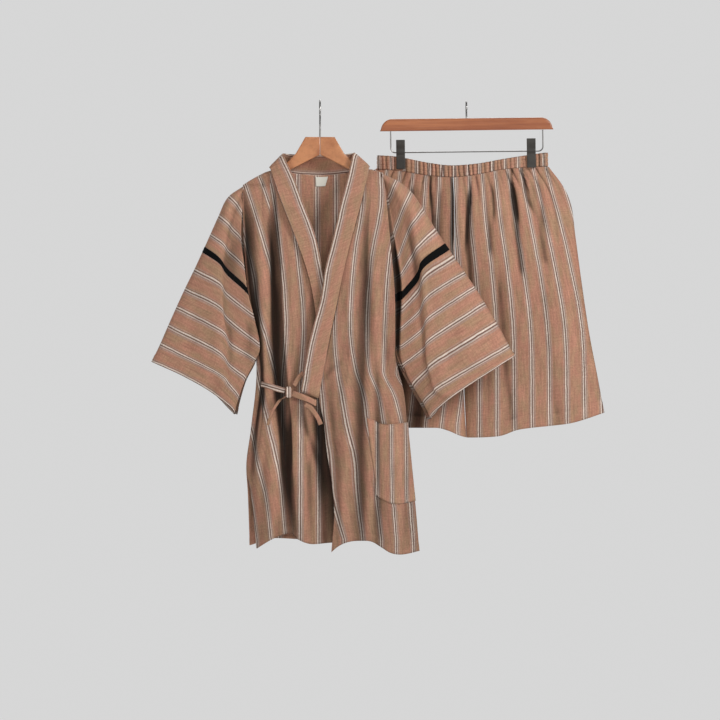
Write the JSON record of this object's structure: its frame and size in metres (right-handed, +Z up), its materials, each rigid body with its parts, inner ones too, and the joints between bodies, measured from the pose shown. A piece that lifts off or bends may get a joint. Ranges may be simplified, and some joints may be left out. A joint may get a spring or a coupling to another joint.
{
  "type": "jinbei set of jacket and shorts on a shoulder hanger and a clip hanger",
  "caption": "Striped wrap-front jacket tied at the side, on a wooden shoulder hanger, with matching elastic-waist shorts on a wooden clip hanger behind it.",
  "frame": {"origin": "inside of the crown of the jacket hanger's hook, where it hangs on a rail", "axes": "+Z up; +X to the right of someone facing the front of the jacket; +Y from the front of the jacket to its back"},
  "size_m": [0.9262, 0.1901, 0.9275],
  "materials": {
    "striped_cotton": "matt slubbed plain weave, tan and reddish brown, with fine white, grey and dark warp stripes",
    "black_tape": "matt black cotton tape",
    "label": "off-white woven label, blank",
    "wood": "clear satin varnish on orange-brown wood",
    "steel": "plain plated wire",
    "clip": "charcoal, slightly shiny"
  },
  "bodies": {
    "root": {"jacket_back": "striped_cotton", "jacket_front_under": "striped_cotton", "jacket_front_over": "striped_cotton", "collar": "striped_cotton", "pocket": "striped_cotton", "sleeve_upper_left": "striped_cotton", "sleeve_upper_right": "striped_cotton", "sleeve_lower_left": "striped_cotton", "sleeve_lower_right": "striped_cotton", "tie_side": "striped_cotton", "tie_over": "striped_cotton", "bow_knot": "striped_cotton", "bow_loop": "striped_cotton", "tail_left": "striped_cotton", "tail_right": "striped_cotton", "shorts_waistband": "striped_cotton", "shorts_front_left": "striped_cotton", "shorts_front_right": "striped_cotton", "shorts_back_left": "striped_cotton", "shorts_back_right": "striped_cotton", "sleeve_tape_left": "black_tape", "sleeve_tape_right": "black_tape", "neck_label": "label", "jacket_hanger_left": "wood", "jacket_hanger_right": "wood", "shorts_hanger_bar": "wood", "jacket_hook": "steel", "shorts_hanger_hook": "steel", "shorts_hanger_wire": "steel", "clip_left_front": "clip", "clip_left_back": "clip", "clip_right_front": "clip", "clip_right_back": "clip"}
  },
  "joints": []
}
